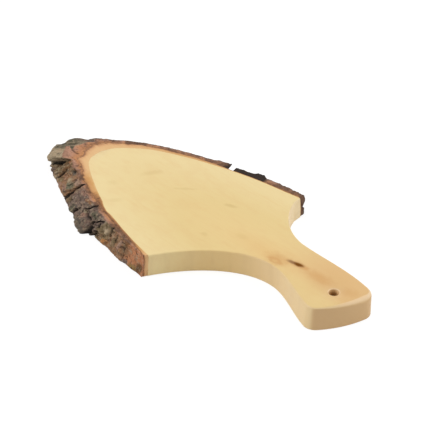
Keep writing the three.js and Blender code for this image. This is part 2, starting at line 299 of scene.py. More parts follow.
def find_saw_stop(side, depth, height):
    shoulder, saw = (FRONT_SHOULDER, FRONT_SAW) if side < 0 else (BARK_END, BARK_CUT)
    outward = Vector((saw.y, -saw.x)) * -side
    inside, outside = SEARCH_FROM, SEARCH_TO
    while outside - inside > SEARCH_FINE:
        middle = (inside + outside) / 2
        (x, y), _ = at_edge(side * middle, depth, height)
        past = (Vector((x, y)) - shoulder).dot(outward) + eased(height)
        if past > 0:
            outside = middle
        else:
            inside = middle
    return side * inside


sanded = spread(EASING)
flared = spread(FLARE)
FAR_DEPTH = 20.0


@functools.cache
def saw_stops(side, height):
    return find_saw_stop(side, 0, height), find_saw_stop(side, FAR_DEPTH, height)


def saw_stop(side, depth, height):
    near, far = saw_stops(side, float(height))
    return blend(near, far, depth / FAR_DEPTH)


front_stop = saw_stop(-1, 0, THICKNESS / 2)
back_stop = saw_stop(1, 0, THICKNESS / 2)
print("live edge from", round(front_stop, 1), "to", round(back_stop, 1), "mm on the tape")

# %% [markdown]
# ## The wood slab
#
# The slab is one flat piece of wood, so it could be a filled curve with some depth. A filled curve has one
# wall for its whole outline, though, and this outline has two: upright and eased where it was sawn, slanting
# and crisp where it follows the tree. So the slab is lofted in mesh code from closed loops, one at each
# height. Its two flat faces are filled between the last loop and the rim of the hole. Near the top the
# border of the wood strays a few millimetres from the oval, as listed along the tape.

# %% Cut the slab into loops
EASING_STEPS = 9
LIVE_STEPS = 260
HOLE_STEPS = 48
HOLE_RADIUS = 4.0
COUNTERSINK = 0.9
COUNTERSINK_BEND = 0.35
MIDDLE_HEIGHTS = [8.0, 11.0, 14.0]
CORNER_ROOM = 12
REACH_FADES = 8.0
BACK_STARTS = 45
BACK_KEEPS = 0.45
WOOD_REACH = [
    (-165, 0.0), (-102, 0.4), (-94, 1.8), (-86, 1.6), (-79, 0.2), (-50, 0.0), (-31, 1.2), (-20, 2.4),
    (-14, 1.8), (-5, -1.5), (4, -2.8), (12, -1.6), (30, -1.0), (45, 0.0), (60, -0.5), (100, -1.1),
    (128, -1.2), (152, -1.4), (172, -1.9), (190, -1.3),
]


def wood_reach(tape, height):
    kept = ease(height, REACH_FADES, THICKNESS)
    if tape > BACK_STARTS:
        kept = blend(BACK_KEEPS, 1.0, kept)
    return along_tape(tape, WOOD_REACH) * kept


def eased_heights():
    turns = [math.pi / 2 * step / EASING_STEPS for step in range(EASING_STEPS + 1)]
    low = [MOST_SANDED * (1 - math.cos(turn)) for turn in turns]
    return low + MIDDLE_HEIGHTS + [THICKNESS - height for height in reversed(low)]


def slab_loop(height):
    front = saw_stop(-1, wood_reach(front_stop, height), height)
    back = saw_stop(1, wood_reach(back_stop, height), height)
    live = []
    for step in range(LIVE_STEPS + 1):
        tape = blend(back, front, step / LIVE_STEPS)
        live.append(at_edge(tape, wood_reach(tape, height), height)[0])
    kept = [(point - BACK_SHOULDER).length > CORNER_ROOM for point in sawn_outline[2:]]
    sawn = [point for point, keep in zip(stepped_in(height)[2:], kept) if keep]
    return [place(x, y, height) for x, y in [*sawn, *live]]


def hole_loop(radius, height):
    turns = [2 * math.pi * step / HOLE_STEPS for step in range(HOLE_STEPS)]
    return [place(radius * math.cos(turn), radius * math.sin(turn), height) for turn in turns]


print("points in the slab's top loop:", len(slab_loop(THICKNESS)))

# %% [markdown]
# Mesh code puts in the points of each loop and skins every two neighbours with four-sided faces. The object
# is made last, with its faces turned outward. Every finished piece then rides on a body and hides the plain
# solid that it replaces, and later gets its finish.

# %% Loft the slab


def add_loops(mesh, loops):
    return [[mesh.verts.new(point) for point in loop] for loop in loops]


def skin_loops(mesh, loops):
    faces = []
    for below, above in zip(loops, loops[1:]):
        for index in range(len(below)):
            after = (index + 1) % len(below)
            faces.append(mesh.faces.new((below[index], below[after], above[after], above[index])))
    return faces


def loop_edges(mesh, loop):
    return [mesh.edges.get((loop[index - 1], loop[index])) for index in range(len(loop))]


def make_object(name, mesh):
    bmesh.ops.recalc_face_normals(mesh, faces=mesh.faces[:])
    data = bpy.data.meshes.new(name)
    mesh.to_mesh(data)
    mesh.free()
    made = bpy.data.objects.new(name, data)
    bpy.context.scene.collection.objects.link(made)
    return made


def make_wood_slab():
    mesh = bmesh.new()
    heights = eased_heights()
    walls = add_loops(mesh, [slab_loop(height) for height in heights])
    flare = HOLE_RADIUS + COUNTERSINK
    rims = [(flare, 0), (HOLE_RADIUS + COUNTERSINK_BEND, COUNTERSINK_BEND), (HOLE_RADIUS, COUNTERSINK)]
    profile = rims + [(radius, THICKNESS - height) for radius, height in reversed(rims)]
    bore = add_loops(mesh, [hole_loop(radius, height) for radius, height in profile])
    for face in skin_loops(mesh, walls) + skin_loops(mesh, bore):
        face.smooth = True
    for wall, rim in ((walls[0], bore[0]), (walls[-1], bore[-1])):
        edges = loop_edges(mesh, wall) + loop_edges(mesh, rim)
        bmesh.ops.triangle_fill(mesh, edges=edges, use_beauty=True)
    return make_object("board_wood", mesh)


wood = make_wood_slab()
wood.data.set_sharp_from_angle(angle=math.radians(40))
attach(wood, "root")
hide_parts("wood_slab")
print("wood slab:", len(wood.data.vertices), "points")

# %% [markdown]
# ## The inner bark
#
# Between wood and bark lies the bast, the tree's living inner bark. The slanting cut draws it out to a wide
# orange band at the tip and leaves a line along the sides, thinnest at the back. Its border with the wood is
# a clean curve, but its border with the bark is torn, so noise pushes that border in and out. The band is a
# ring of points carried along the tape. Each point also remembers how far it is from wood to bark and how
# toasted it is.

# %% Carry the inner bark along the tape
BAST_AT_SIDE = 1.0
BAST_AT_TIP = 11.5
BAST_STEP = 0.8
HAIRLINE = 0.04
BAST_SWELLS = [
    (-165, 8, 1.2), (-128, 27, -1.3), (-16.5, 3.2, 5.2), (-8.5, 3, -1.2), (-45, 12, 1.2),
    (3, 6, -2.5), (22, 13, -3.2), (150, 48, -3.6),
]
TOAST = [
    (-165, 0.0), (-156, 0.3), (-145, 0.85), (-118, 1.0), (-80, 1.0), (-70, 0.8), (-63, 0.35), (-44, 0.45),
    (-28, 0.0), (-4, 0.0), (8, 0.1), (30, 0.15), (75, 0.35), (110, 0.3), (160, 0.4), (190, 0.5),
]


def wander(tape, height, grain, seed):
    return noise.noise(Vector((tape / grain, height / grain, seed)))


def even_bast(tipness):
    return blend(BAST_AT_SIDE, BAST_AT_TIP, tipness)


def bast_depth(tape, height, tipness):
    depth = even_bast(tipness) * (1 - 0.45 * ease(tape, 20.0, 60.0))
    depth += sum(more * math.exp(-((tape - centre) / half) ** 2) for centre, half, more in BAST_SWELLS)
    tear = 0.22 * wander(tape, height, 9.0, 3.0) + 0.14 * wander(tape, height, 3.1, 7.0)
    thinnest = wood_reach(tape, height) + 0.8 + 0.4 * wander(tape, height, 4.0, 17.0)
    return max(thinnest, depth * (1 + tear) + 0.35 * wander(tape, height, 2.0, 11.0))


def bast_ring(share):
    ring = [(0.0, height) for height in (THICKNESS, 18.5, 16.5, 14.0, 11.0, 8.0, 4.0, 0.0)]
    ring += [(across, 0.0) for across in (0.33, 0.67)]
    ring += [(1.0, height) for height in numpy.linspace(0.0, THICKNESS, 12)]
    ring += [(across, THICKNESS) for across in (0.9, 0.8, 0.65, 0.5, 0.35, 0.2, 0.1)]
    points = []
    for across, height in ring:
        side = -1 if share < 0 else 1
        tape = share * abs(front_stop if side < 0 else back_stop)
        _, tipness = at_edge(tape, 0, height)
        even = blend(wood_reach(tape, height), even_bast(tipness), across)
        tape = share * abs(saw_stop(side, even, height))
        depth = blend(wood_reach(tape, height) + HAIRLINE, bast_depth(tape, height, tipness), across)
        (x, y), _ = at_edge(tape, depth, height)
        sunk = 0.18 * max(0.0, wander(tape, across * 9, 2.6, 19.0)) * math.sin(math.pi * across)
        toast = along_tape(tape, TOAST)
        points.append((place(x, y, height - sunk if height == THICKNESS else height), across, toast))
    return points


def close_ends(mesh, rings):
    mesh.faces.new(rings[0])
    mesh.faces.new(list(reversed(rings[-1])))


def make_inner_bark():
    mesh = bmesh.new()
    across_layer = mesh.verts.layers.float.new("across")
    toast_layer = mesh.verts.layers.float.new("toast")
    front_steps = round(abs(front_stop) / BAST_STEP)
    back_steps = round(back_stop / BAST_STEP)
    shares = [-1 + step / front_steps for step in range(front_steps)]
    shares += [step / back_steps for step in range(back_steps + 1)]
    rings = []
    for share in shares:
        ring = []
        for point, across, toast in bast_ring(share):
            vertex = mesh.verts.new(point)
            vertex[across_layer] = across
            vertex[toast_layer] = toast
            ring.append(vertex)
        rings.append(ring)
    for face in skin_loops(mesh, rings):
        face.smooth = True
    close_ends(mesh, rings)
    return make_object("board_inner_bark", mesh)


inner_bark = make_inner_bark()
inner_bark.data.set_sharp_from_angle(angle=math.radians(50))
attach(inner_bark, "root")
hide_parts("inner_bark")
print("inner bark:", len(inner_bark.data.vertices), "points")

# %% [markdown]
# ## The plates of outer bark
#
# Old bark splits into plates as the trunk swells. Each plate is listed from the tip towards a shoulder, with
# its share of the tape and its thickness at the top face and at the foot. A stretch without a name is where
# the bark has broken away. In their order along the tape the plates make one strip, so each plate can pass
# into its neighbour over a few millimetres, or in a sharp step where the bark has split.

# %% List the plates
Plate = namedtuple("Plate", "name start stop top foot belly")

TIP_PLATE = Plate("bark_tip", -16.0, 1.0, 17.5, 13.0, 8.0)
FRONT_PLATES = [
    ("bark_front_1", 13, 8.5, 10.4), ("bark_front_2", 24.5, 5.2, 8.6), ("bark_front_3", 19.5, 4.5, 8.9),
    ("bark_front_4", 13, 4, 9.6), ("bark_front_5", 19, 4, 12.4), ("bark_front_6", 13, 4, 6.2),
    ("bark_front_7", 21, 2.8, 4.8), ("bark_front_8", 24, 1.6, 3.2),
]
BACK_PLATES = [
    ("bark_tip_back", 10, 4.5, 12), ("bark_back_1", 15, 2.4, 8), ("bark_back_2", 27, 2.2, 6),
    ("bark_back_3", 16, 2, 5), ("bark_back_4", 17, 1.9, 4.5), ("bark_back_5", 14, 1.9, 4),
    ("bark_back_6", 13.8, 3.8, 5), (None, 4.6, 0.3, 0.3), ("bark_back_7", 18, 2, 3.6),
    ("bark_back_8", 11.0, 3.3, 4.4), (None, 0.4, 0.3, 0.3), ("bark_back_9", 27.6, 2.8, 3.8),
    ("bark_back_10", 11.6, 2.4, 3.2),
]
BELLY_PEAK = 6.75
SOFT_STEP = 4.0
BARE_STEP = 0.7
SHARP_STEPS = {"bark_front_1": 0.9, "bark_tip": 1.6, "bark_front_6": 1.0}


def share_out(plates, start, stop):
    total = sum(plate[1] for plate in plates)
    covered = 0
    placed = []
    for name, width, top, foot in plates:
        near = blend(start, stop, covered / total)
        covered += width
        far = blend(start, stop, covered / total)
        placed.append(Plate(name, min(near, far), max(near, far), top, foot, 0.0))
    return placed


strip = share_out(FRONT_PLATES, TIP_PLATE.start, front_stop)[::-1]
strip += [TIP_PLATE] + share_out(BACK_PLATES, TIP_PLATE.stop, back_stop)


def step_after(index):
    before, after = strip[index], strip[index + 1]
    return SHARP_STEPS.get(before.name, SOFT_STEP) if before.name and after.name else BARE_STEP


def plain_thickness(plate, height):
    rise = height / THICKNESS
    return blend(plate.foot, plate.top, rise) + BELLY_PEAK * rise * rise * (1 - rise) * plate.belly


print("plates of bark:", sum(1 for plate in strip if plate.name))

# %% [markdown]
# What gives this bark its face is drawn as a carver would draw it: a few deep cracks as lines, and a few
# lumps as ovals, both laid out on the tape and the height. A lump also brings its own paint, from dark grey
# through mauve, olive and tan to red, and its share of pale crust.

# %% Draw the cracks and the lumps
CRACKS = [
    ([(-0.5, 20), (-3.2, 16), (-3.6, 10), (-1.5, 5)], 0.9, 1.5),
    ([(-12.8, 2.6), (-14.5, 4.5), (-16.5, 9.5), (-17.8, 12)], 2.2, 7),
    ([(-29.5, 3), (-29, 8), (-27.6, 12), (-26.5, 15)], 1.2, 2.4),
    ([(-35.5, 15.5), (-33.5, 13), (-34.5, 10)], 0.8, 1),
    ([(-55, 0), (-55, 7), (-52.8, 13), (-52, 20)], 1.7, 3.5),
    ([(-57, 6.5), (-61, 5.5), (-64, 7.5)], 0.9, 1.4),
    ([(-53.8, 8), (-56.2, 4), (-57.2, 0.5)], 1.7, 2.6),
    ([(-75, 5.5), (-76.5, 0)], 1.8, 2.4),
    ([(-79.5, 12), (-82, 15), (-84.5, 20)], 1.6, 2.4),
    ([(-82.5, 12), (-88, 10), (-96.5, 10.4), (-100.5, 9.5)], 1.5, 3.6),
    ([(-98.5, 10.5), (-101.6, 8), (-103.2, 4), (-103.6, 0)], 3, 3.6),
    ([(-100.4, 13.2), (-101.8, 15), (-104.8, 17.6)], 1.4, 2.6),
    ([(-105.6, 14.5), (-107.2, 11.8)], 1.7, 2.2),
    ([(-107, 7.5), (-109.5, 4.5)], 1.4, 1.8),
    ([(-116.5, 20), (-119, 16.5), (-122, 12)], 1.2, 1.8),
    ([(-127, 20), (-128.5, 13), (-131, 6)], 0.7, 0.8),
    ([(-138.2, 20), (-139.6, 16.5), (-141.6, 12), (-143.2, 8), (-144.2, 1)], 0.8, 1),
]
# The paint called shadow is painted shade for recesses and the ends of lobes
BARK_PAINTS = {
    "shadow": (64, 53, 45), "moss": (106, 104, 82), "mauve": (118, 98, 88), "slate": (91, 83, 73),
    "olive": (130, 109, 78), "tan": (178, 157, 127), "pink": (180, 142, 122), "brown": (148, 108, 76),
    "lichen": (90, 86, 68), "ochre": (206, 142, 84), "rust": (190, 126, 86), "gold": (150, 116, 62),
    "umber": (112, 76, 42), "bronze": (114, 88, 58), "rose": (156, 120, 102),
}
# Rows with the paint shadow lay painted shade in recesses
LUMPS = [
    (-0.5, 14, 3.9, 9, -4.8, "lichen", 0.1), (-6, 18.5, 3.4, 4, 1.6, "lichen", 0.2),
    (4.2, 17, 4.2, 7, 2.4, "mauve", 0), (-9.5, 9, 6, 9.5, 0.4, "tan", 0.7),
    (-12, 2, 4, 3.5, -1, "tan", 0.2), (-19.5, 1.5, 3.5, 4, 1.4, "mauve", 0),
    (-23, 6.8, 4, 5.2, 1.4, "olive", 0.7), (-25, 15.6, 3.4, 5, 0, "umber", 0),
    (-19.5, 18.6, 3.2, 2.6, 0, "rust", 0), (-33.5, 18, 4.5, 3, -0.2, "slate", 0),
    (-34, 4, 5, 4.5, 0.3, "olive", 0), (-29, 1.5, 3, 2.4, 0.2, "tan", 0),
    (-45, 4.5, 6.5, 3, 0.4, "rose", 0.2), (-37.5, 2, 3.5, 2.5, 0.2, "rose", 0),
    (-45.5, 11, 6.4, 5.2, 0.9, "moss", 0.2), (-49, 18.5, 3.5, 3, 0.5, "pink", 0),
    (-44.5, 17.6, 4, 3, 0.6, "pink", 0.2), (-34.5, 12, 3.2, 3, 0.2, "brown", 0),
    (-39.6, 12.6, 2.8, 3, 0.3, "tan", 0.2), (-60, 3.5, 4.5, 3.2, 0.4, "olive", 1),
    (-66, 13, 9, 6.5, 0.9, "mauve", 0.1), (-62.5, 18.6, 6, 3, 0.2, "rose", 0),
    (-70.5, 6.2, 4.5, 3.6, 0, "slate", 0), (-71.5, 2, 4.4, 4.5, 1.4, "lichen", 0),
    (-75, 18.8, 6.5, 2.4, 0.2, "brown", 0), (-84, 3, 6, 6.5, 1.4, "slate", 0.2),
    (-91.5, 3.6, 9.5, 6.6, 2.4, "slate", 0.3), (-84, 8, 3.2, 2.6, 0.2, "rose", 0),
    (-105.6, 2, 3, 6.5, -3.4, "shadow", 0), (-99.6, 0.5, 4.6, 5, 2.4, "slate", 0),
    (-93, 16.5, 8, 4.2, 0.6, "lichen", 0.1), (-83, 11.8, 3, 2.4, 0.6, "tan", 1),
    (-109, 11, 4, 3.4, 1.2, "olive", 1), (-115.5, 14, 4.5, 4.5, 1.2, "tan", 0.4),
    (-112.5, 4, 4.5, 4.5, 0.6, "bronze", 0.1), (-120, 4, 4.6, 3.6, 0.2, "ochre", 0),
    (-127, 10, 4, 9, 0.3, "olive", 0.1), (-134.8, 13, 2.6, 7, 0.5, "pink", 0.4),
    (-140.5, 18, 3, 4, 0, "umber", 0), (-165, 9, 10, 18, -1, "rust", 0),
    (-157, 1.5, 8, 5, 0, "gold", 0.2), (-147, 1, 5, 4.6, 0, "mauve", 0),
    (-163, 5, 4.6, 9, -0.2, "umber", 0), (117, 16, 5, 9, 0.6, "shadow", 0),
    (143.8, 17, 6.8, 9, 2, "shadow", 0), (186, 15, 9, 5, 1.6, "umber", 0),
    (186, 8.4, 9, 2.8, -2.2, "umber", 0), (186, 0.4, 9, 3, -2.6, "shadow", 0),
]


print("cracks:", len(CRACKS), "lumps:", len(LUMPS))

# %% [markdown]
# At any place on the bark the deepest crack wins, and the lumps are laid over one another with soft borders.
# Paints are written as on a paint card, from 0 to 255, and turned into the linear values that Blender works
# in.

# %% Read the cracks and the lumps
CRACK_ROOM = 12
# Depth in millimetres from which a crack is painted fully black as shade
FULL_SHADE_DEPTH = 2.6


def paint(red, green, blue):
    def linear(value):
        value /= 255
        return value / 12.92 if value <= 0.04045 else ((value + 0.055) / 1.055) ** 2.4
    return linear(red), linear(green), linear(blue), 1.0


paints = {name: Vector(paint(*colour)) for name, colour in BARK_PAINTS.items()}


def to_line(tape, height, start, stop):
    along, up = stop[0] - start[0], stop[1] - start[1]
    share = ((tape - start[0]) * along + (height - start[1]) * up) / (along * along + up * up)
    share = min(1.0, max(0.0, share))
    return math.hypot(tape - start[0] - share * along, height - start[1] - share * up)


def crack_at(tape, height):
    deepest, darkest = 0.0, 0.0
    for points, width, depth in CRACKS:
        if points[-1][0] - CRACK_ROOM < tape < points[0][0] + CRACK_ROOM:
            away = min(to_line(tape, height, *ends) for ends in zip(points, points[1:]))
            gape = width * (1 + 0.55 * wander(tape, height, 3.0, 91.0))
            share = 1 - ease(away, 0.15 * gape, gape)
            deepest = max(deepest, depth * share)
            # A crack's painted shade grows with its depth
            darkest = max(darkest, share * min(1.0, depth / FULL_SHADE_DEPTH))
    return deepest, darkest


def lumps_at(tape, height, tint, crust):
    rise = 0.0
    for at_tape, at_height, half_tape, half_height, out, colour, lump_crust in LUMPS:
        away = math.hypot((tape - at_tape) / half_tape, (height - at_height) / half_height)
        if away < 1:
            weight = ease(away, 1.0, 0.4)
            rise += out * weight
            tint = blend(tint, paints[colour], weight)
            crust = blend(crust, lump_crust, weight)
    return rise, tint, crust


print("paints for the bark:", len(paints))

# %% [markdown]
# A displaced grid suits bark better than sculpting, because one recipe serves all the plates. To the drawn
# forms it adds flakes, from a Voronoi pattern whose cells each get a tilt of their own and crack apart here
# and there, and a fine crumble. How far a point is out of the cracks and hollows is stored as its ridge, so
# that the finish can paint shade there, black in the cracks. The stretch of young bark by the front shoulder
# stays nearly smooth.

# %% Shape the bark
Surface = namedtuple("Surface", "thickness ridge tint crust")

FLAKE_SIZE = 5.2
THINNEST_BARK = 0.25
YOUNG_BARK = "bark_front_8"
PLATE_PAINTS = {
    "bark_tip": ("tan", 0.5), "bark_front_1": ("bronze", 0.4), "bark_front_2": ("brown", 0.2),
    "bark_front_3": ("mauve", 0.2), "bark_front_4": ("mauve", 0.3), "bark_front_5": ("mauve", 0.3),
    "bark_front_6": ("olive", 0.6), "bark_front_7": ("brown", 0.2), "bark_front_8": ("rust", 0.1),
    "bark_tip_back": ("mauve", 0.1),
}
BACK_PAINT = ("mauve", 0.15)


def look_of(plate, height):
    colour, crust = PLATE_PAINTS.get(plate.name, BACK_PAINT)
    return plain_thickness(plate, height), paints[colour], crust


def flake_at(tape, height):
    bend = noise.noise_vector(Vector((tape, height, 41.0)) / 8)
    cell = Vector((tape / FLAKE_SIZE + 0.6 * bend.x, height / FLAKE_SIZE + 0.6 * bend.y, 41.0))
    distances, centres = noise.voronoi(cell)
    tilt = noise.noise_vector(centres[0] * 3.7)
    away = cell - centres[0]
    split = ease(wander(tape, height, 8.0, 59.0), -0.1, 0.35)
    crack = split * (1 - ease(distances[1] - distances[0], 0.0, 0.16))
    return 0.5 * tilt.z + 1.1 * (tilt.x * away.x + tilt.y * away.y), crack


def passed_on(index, tape, height, start, stop):
    values = look_of(strip[index], height)
    for other, room, border in ((index - 1, tape - start, index - 1), (index + 1, stop - tape, index)):
        if 0 <= other < len(strip):
            step = step_after(border)
            share = ease(room, -step, step)
            theirs = look_of(strip[other], height)
            values = [blend(there, here, share) for there, here in zip(theirs, values)]
    return values


def bark_at(index, tape, height, start, stop):
    base, tint, crust = passed_on(index, tape, height, start, stop)
    wildness = 0.2 if strip[index].name == YOUNG_BARK else 1.0
    rough = min(1.8, 0.34 * base) * wildness * blend(0.35, 1.0, ease(height, 0.0, 7.0))
    bend = noise.noise_vector(Vector((tape, height, 13.0)) / 4.5)
    spot = tape + 1.3 * bend.x, height + 1.3 * bend.y
    rise, tint, crust = lumps_at(*spot, tint, crust)
    depth, dark = crack_at(*spot)
    tilt, crack = flake_at(tape, height)
    coarse = noise.fractal(Vector((tape / 5, height / 5, 53.0)), 0.9, 2.0, 4)
    crumble = noise.fractal(Vector((tape / 1.3, height / 1.3, 61.0)), 0.9, 2.0, 3)
    relief = 0.9 * tilt - 0.4 * crack + 0.8 * coarse
    thickness = base + rise + rough * relief + 0.12 * crumble
    thickness -= min(depth * ease(height, -1.0, 4.0), 0.75 * thickness)
    # Painted shade: low places and flake cracks get a lower ridge, so the finish darkens them
    painted_shading = blend(1.0, ease(relief, -0.9, 0.35), 0.55 * wildness)
    ridge = painted_shading * (1 - 0.25 * crack * wildness) * (1 - 0.9 * dark)
    return Surface(max(THINNEST_BARK, thickness), ridge, tint, crust)


tip_index = strip.index(TIP_PLATE)
tip_middle = (TIP_PLATE.start + TIP_PLATE.stop) / 2
tip_bark = bark_at(tip_index, tip_middle, THICKNESS / 2, TIP_PLATE.start, TIP_PLATE.stop)
print("bark at the middle of the tip:", round(tip_bark.thickness, 1), "mm thick")

# %% [markdown]
# A plate is again a ring of points carried along the tape: up the outside, across the sawn top, down behind
# and back under the foot. The ring is dense where bark shows and sparse behind. Neighbours share the seam
# between them. At the tip a piece of the rim has broken off, so the rim drops there before it is sawn.

# %% Carry the plates along the tape
PLATE_STEP = 0.55
SAWN_RIM = 0.5
OUTSIDE_HEIGHTS = [0.0, 0.15, 0.5, *numpy.linspace(1.0, THICKNESS - 1.0, 35), 19.5, 19.85, THICKNESS]
TOP_SHARES = [0.95, 0.9, 0.84, 0.78, 0.72, 0.66, 0.6, 0.54, 0.46, 0.38, 0.3, 0.2, 0.1, 0.0]
SEAM_LEANS = {"bark_front_8": -4.5, "bark_front_3": -1.5}
TOP_SPLIT = [(-4.5, 24.0), (-7.3, 20.5), (-9.5, 16.0), (-10.0, 13.5)]
SAWN_SHADE = [
    (-165, 0.3), (-146, 0.4), (-134, 0.6), (-124, 0.7), (-118, 1.0), (-112, 0.4), (-104, 0.2), (-94, 0.4),
    (-88, 0.5), (-82, 0.8), (-76, 0.3), (-64, 0.7), (-50, 0.45), (-40, 0.6), (-26, 0.4), (-17, 0.1),
    (-12, 0.0), (-4, 0.0), (0, 0.4), (10, 0.35), (20, 0.3), (24, 1.1), (32, 1.1), (42, 0.5), (102, 0.5),
    (109, 0.9), (116, 1.6), (130, 2.0), (149, 1.8), (153, 0.6), (182, 0.6), (190, 0.9),
]


def seam(index, height, depth):
    if index < 0:
        return saw_stop(-1, depth, height)
    if index == len(strip) - 1:
        return saw_stop(1, depth, height)
    border = strip[index].stop
    lean = SEAM_LEANS.get(strip[index].name, 0.0) * (1 - height / THICKNESS)
    waver = 0.8 * wander(border * 5, height, 8.0, 23.0)
    return border + lean + waver + 0.3 * wander(border * 5, height, 2.2, 29.0)


def broken_rim(tape):
    crumbled = 1.1 * ease(wander(tape, 0.0, 6.0, 83.0), 0.0, 0.35)
    return 3.2 * ease(tape, -6.5, -2.5) * ease(tape, 4.0, 1.0) + crumbled * ease(-tape, 22.0, 30.0)


def split_top(tape, depth):
    away = min(to_line(tape, depth, *ends) for ends in zip(TOP_SPLIT, TOP_SPLIT[1:]))
    return 1 - ease(away, 0.3, 1.5)


def on_plate(index, share, height, depth):
    tape = blend(seam(index - 1, height, depth), seam(index, height, depth), share)
    return at_edge(tape, depth, height)[0]


def plate_spot(index, share, height):
    start, stop = seam(index - 1, height, 0), seam(index, height, 0)
    tape = blend(start, stop, share)
    surface = bark_at(index, tape, height, start, stop)
    _, tipness = at_edge(tape, 0, height)
    inner = bast_depth(tape, height, tipness) + HAIRLINE
    outer = even_bast(tipness) + surface.thickness - eased(height, SAWN_RIM)
    return tape, inner, max(inner + 0.2, outer), surface


def plate_ring(index, share):
    points = []
    for height in OUTSIDE_HEIGHTS:
        tape, inner, outer, surface = plate_spot(index, share, height)
        x, y = on_plate(index, share, height, outer)
        drop = broken_rim(tape) * ease(height, 12.0, THICKNESS)
        points.append((place(x, y, height - drop), 1.0, surface))
    # The last spot up the outside is the rim, where the sawn top starts
    for rise in TOP_SHARES:
        depth = blend(inner, outer, rise)
        x, y = on_plate(index, share, THICKNESS, depth)
        split = split_top(tape, depth)
        sunk = 0.2 * max(0.0, wander(tape, rise * 8, 2.1, 71.0)) if rise else 0.0
        crumbs = 1 + 0.8 * wander(tape, rise * 16, 2.4, 97.0)
        broken = broken_rim(tape) * ease(rise, 0.5, 1.0) * blend(crumbs, 1.0, ease(rise, 0.9, 1.0))
        drop = broken + 0.6 * split
        point = place(x, y, THICKNESS - sunk - drop)
        # A split across the sawn top lowers the ridge there, which paints shade into it
        points.append((point, rise, surface._replace(ridge=1 - 0.45 * split)))
    for height in (14.0, 8.0, 3.0, 0.0):
        tape, inner, outer, surface = plate_spot(index, share, height)
        x, y = on_plate(index, share, height, inner)
        points.append((place(x, y, height), 0.0, surface))
    # The last spot down behind is the foot, and the ring goes back out under it
    for rise in (0.25, 0.5, 0.75):
        x, y = on_plate(index, share, 0.0, blend(inner, outer, rise))
        points.append((place(x, y, 0.0), rise, surface))
    return points


print("points round a plate:", len(plate_ring(tip_index, 0.5)))

# %% [markdown]
# Each point of a plate remembers its ridge, tint and crust, how far across the sawn face it lies and how dark
# that face is there. One finish can then paint all the plates. The faces on top and underneath get a second
# finish, the sawn one, except where the rim has broken off.

# %% Make the plates
REMEMBERED = ("ridge", "across", "crust", "shade")


def make_plate(index):
    plate = strip[index]
    mesh = bmesh.new()
    layers = [mesh.verts.layers.float.new(word) for word in REMEMBERED]
    tint_layer = mesh.verts.layers.float_color.new("tint")
    steps = max(8, round((plate.stop - plate.start) / PLATE_STEP))
    rings = []
    for step in range(steps + 1):
        ring = []
        shade = along_tape(blend(plate.start, plate.stop, step / steps), SAWN_SHADE)
        for point, across, surface in plate_ring(index, step / steps):
            vertex = mesh.verts.new(point)
            vertex[tint_layer] = surface.tint
            for layer, value in zip(layers, (surface.ridge, across, surface.crust, shade)):
                vertex[layer] = value
            ring.append(vertex)
        rings.append(ring)
    outside = len(OUTSIDE_HEIGHTS) - 1
    ring_size = len(rings[0])
    for number, face in enumerate(skin_loops(mesh, rings)):
        spot = number % ring_size
        on_top = outside <= spot < outside + len(TOP_SHARES)
        whole = min(vertex.co.z for vertex in face.verts) > (THICKNESS - 0.7) / 1000
        face.smooth = True
        face.material_index = 1 if (on_top and whole) or spot >= ring_size - 4 else 0
    close_ends(mesh, rings)
    mesh.faces.ensure_lookup_table()
    mesh.faces[-2].material_index = 1 if index == 0 else 0
    mesh.faces[-1].material_index = 1 if index == len(strip) - 1 else 0
    return make_object("board_" + plate.name, mesh)


bark = {}
for index, plate in enumerate(strip):
    if plate.name:
        made = make_plate(index)
        made.data.set_sharp_from_angle(angle=math.radians(60))
        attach(made, "root")
        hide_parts(plate.name)
        bark[plate.name] = made
print("bark:", sum(len(made.data.vertices) for made in bark.values()), "points on", len(bark), "plates")

# %% [markdown]
# ## Mixing finishes
#
# All finishes are procedural: they are worked out from a point's place, so they need no picture and no
# unwrapping. A few helpers keep the node trees short.

# %% Helpers for numbers


def start_finish(name):
    material = bpy.data.materials.new(name)
    material.use_nodes = True
    tree = material.node_tree
    return material, tree, tree.nodes["Principled BSDF"]


def plug(tree, socket, value):
    if isinstance(value, bpy.types.NodeSocket):
        tree.links.new(value, socket)
    else:
        socket.default_value = value


def sum_of(tree, operation, first, second=0.0):
    node = tree.nodes.new("ShaderNodeMath")
    node.operation = operation
    plug(tree, node.inputs[0], first)
    plug(tree, node.inputs[1], second)
    return node.outputs[0]


def times(tree, first, second):
    return sum_of(tree, "MULTIPLY", first, second)


def around_zero(tree, value, most):
    return times(tree, sum_of(tree, "SUBTRACT", value, 0.5), most)


def rescale(tree, value, low, high, to_low=0.0, to_high=1.0):
    node = tree.nodes.new("ShaderNodeMapRange")
    node.interpolation_type = "SMOOTHSTEP"
    for name, number in zip(("From Min", "From Max", "To Min", "To Max"), (low, high, to_low, to_high)):
        node.inputs[name].default_value = number
    tree.links.new(value, node.inputs["Value"])
    return node.outputs["Result"]


print("helpers for numbers ready")

# %% [markdown]
# The next helpers work with colours. A tint is laid over a base by a share between 0 and 1. Most shares come
# from clouds: noise that is stretched to the size of what it imitates, in metres.

# %% Helpers for colours and clouds


def colour_ramp(tree, value, stops):
    node = tree.nodes.new("ShaderNodeValToRGB")
    elements = node.color_ramp.elements
    while len(elements) < len(stops):
        elements.new(0.5)
    for element, (position, colour) in zip(elements, stops):
        element.position = position
        element.color = colour
    tree.links.new(value, node.inputs["Fac"])
    return node.outputs["Color"]


def mix_colours(tree, share, first, second, way="MIX"):
    node = tree.nodes.new("ShaderNodeMix")
    node.data_type = "RGBA"
    node.blend_type = way
    plug(tree, node.inputs[0], share)
    plug(tree, node.inputs[6], first)
    plug(tree, node.inputs[7], second)
    return node.outputs[2]


def tinted(tree, base, value, edges, most, colour):
    return mix_colours(tree, rescale(tree, value, *edges, 0.0, most), base, colour)


